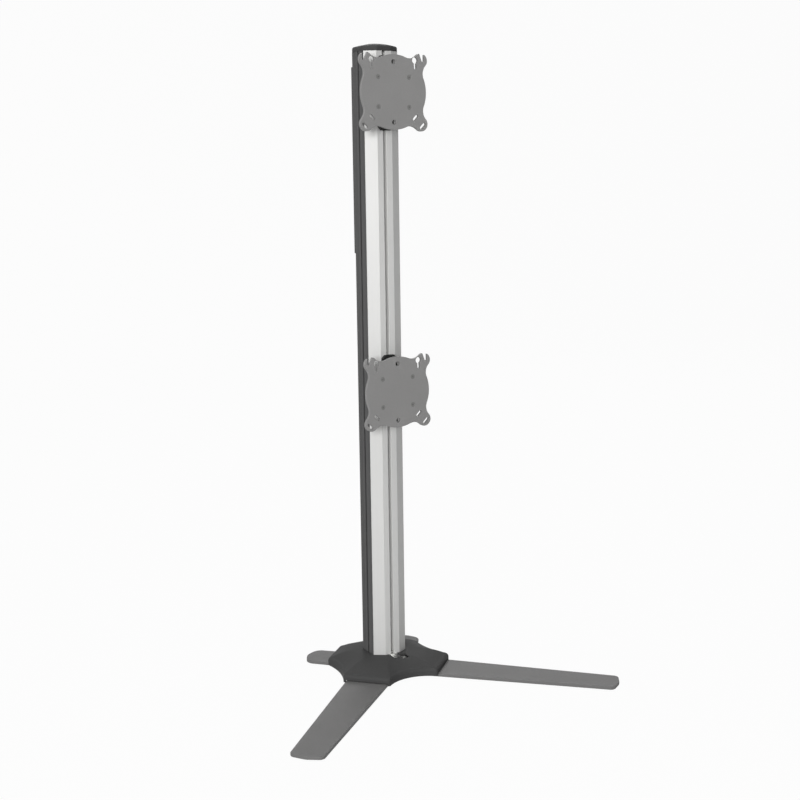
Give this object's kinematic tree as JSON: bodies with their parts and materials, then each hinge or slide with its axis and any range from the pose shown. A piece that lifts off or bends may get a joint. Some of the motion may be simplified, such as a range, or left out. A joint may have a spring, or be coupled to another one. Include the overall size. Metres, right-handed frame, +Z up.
{
  "type": "freestanding dual monitor stand",
  "caption": "Freestanding stand with a slotted eight-sided column on splayed flat legs and tilting screen plates, one above the other, that slide in height.",
  "frame": {"origin": "middle of the footprint on the floor, under the rubber pads", "axes": "+Z up, -Y the side that the screens face, +X to the right as seen from the front"},
  "size_m": [0.5738, 0.3926, 1.0033],
  "materials": {
    "leg_steel": "fine matte grey powder coat",
    "pad_rubber": "matte black rubber",
    "hub_steel": "dark powder coat",
    "column_aluminium": "satin silver anodised",
    "cover_plastic": "dark grey moulded",
    "trunk_plastic": "dark grey extruded",
    "clip_plastic": "black moulded",
    "plate_steel": "fine matte grey powder coat",
    "carriage_aluminium": "dark coated die casting",
    "yoke_steel": "grey powder coat",
    "washer_nylon": "black nylon",
    "plate_screw_steel": "grey coated screws",
    "black_screw_steel": "black oxide",
    "bright_steel": "bright zinc",
    "screw_steel": "zinc plated"
  },
  "bodies": {
    "stand": {"front_left_leg": "leg_steel", "front_right_leg": "leg_steel", "rear_left_leg": "leg_steel", "rear_right_leg": "leg_steel", "floor_pads": "pad_rubber", "hub_plate": "hub_steel", "leg_screws": "screw_steel", "column_bolts": "screw_steel", "hub_cover": "cover_plastic", "hub_cover_screws": "screw_steel", "column": "column_aluminium", "left_channel_insert": "trunk_plastic", "right_channel_insert": "trunk_plastic", "top_cap": "cover_plastic", "rear_cable_cover": "trunk_plastic", "rear_cover_clips": "clip_plastic", "foot_bracket": "bright_steel", "foot_bracket_screws": "bright_steel", "foot_bracket_washers": "bright_steel", "foot_slot_nut": "screw_steel"},
    "upper_slider": {"upper_carriage": "carriage_aluminium", "upper_friction_washers": "washer_nylon"},
    "upper_head": {"upper_yoke": "yoke_steel", "upper_tilt_bolt": "screw_steel", "upper_tilt_nut": "screw_steel", "upper_screen_plate": "plate_steel", "upper_plate_screws": "plate_screw_steel"},
    "upper_nut": {"upper_slot_nut": "screw_steel"},
    "upper_high_screw": {"upper_clamp_screw_high": "black_screw_steel"},
    "upper_low_screw": {"upper_clamp_screw_low": "black_screw_steel"},
    "lower_slider": {"lower_carriage": "carriage_aluminium", "lower_friction_washers": "washer_nylon"},
    "lower_head": {"lower_yoke": "yoke_steel", "lower_tilt_bolt": "screw_steel", "lower_tilt_nut": "screw_steel", "lower_screen_plate": "plate_steel", "lower_plate_screws": "plate_screw_steel"},
    "lower_nut": {"lower_slot_nut": "screw_steel"},
    "lower_high_screw": {"lower_clamp_screw_high": "black_screw_steel"},
    "lower_low_screw": {"lower_clamp_screw_low": "black_screw_steel"}
  },
  "joints": [
    {"name": "upper_height", "type": "slide", "parent": "stand", "child": "upper_slider", "axis": [0, 0, 1], "range_m": [-0.17, 0]},
    {"name": "upper_tilt", "type": "hinge", "parent": "upper_slider", "child": "upper_head", "pos_m": [0, 0.04637, 0.9273], "axis": [1, 0, 0], "range_deg": [-12, 12]},
    {"name": "upper_nut_release", "type": "slide", "parent": "upper_slider", "child": "upper_nut", "axis": [0, 1, 0], "range_m": [0, 0.0008]},
    {"name": "upper_high_clamp_turn", "type": "hinge", "parent": "upper_slider", "child": "upper_high_screw", "pos_m": [0, 0.04857, 0.9722], "axis": [0, -1, 0], "range_deg": [0, 360]},
    {"name": "upper_low_clamp_turn", "type": "hinge", "parent": "upper_slider", "child": "upper_low_screw", "pos_m": [0, 0.04857, 0.8824], "axis": [0, -1, 0], "range_deg": [0, 360]},
    {"name": "lower_height", "type": "slide", "parent": "stand", "child": "lower_slider", "axis": [0, 0, 1], "range_m": [-0.33, 0.16]},
    {"name": "lower_tilt", "type": "hinge", "parent": "lower_slider", "child": "lower_head", "pos_m": [0, 0.04637, 0.4676], "axis": [1, 0, 0], "range_deg": [-12, 12]},
    {"name": "lower_nut_release", "type": "slide", "parent": "lower_slider", "child": "lower_nut", "axis": [0, 1, 0], "range_m": [0, 0.0008]},
    {"name": "lower_high_clamp_turn", "type": "hinge", "parent": "lower_slider", "child": "lower_high_screw", "pos_m": [0, 0.04857, 0.5125], "axis": [0, -1, 0], "range_deg": [0, 360]},
    {"name": "lower_low_clamp_turn", "type": "hinge", "parent": "lower_slider", "child": "lower_low_screw", "pos_m": [0, 0.04857, 0.4227], "axis": [0, -1, 0], "range_deg": [0, 360]}
  ],
  "couplings": [
    {"joint": "upper_high_clamp_turn", "follows": "upper_nut_release", "rad_per_m": 7854},
    {"joint": "upper_low_clamp_turn", "follows": "upper_nut_release", "rad_per_m": 7854},
    {"joint": "lower_high_clamp_turn", "follows": "lower_nut_release", "rad_per_m": 7854},
    {"joint": "lower_low_clamp_turn", "follows": "lower_nut_release", "rad_per_m": 7854}
  ]
}
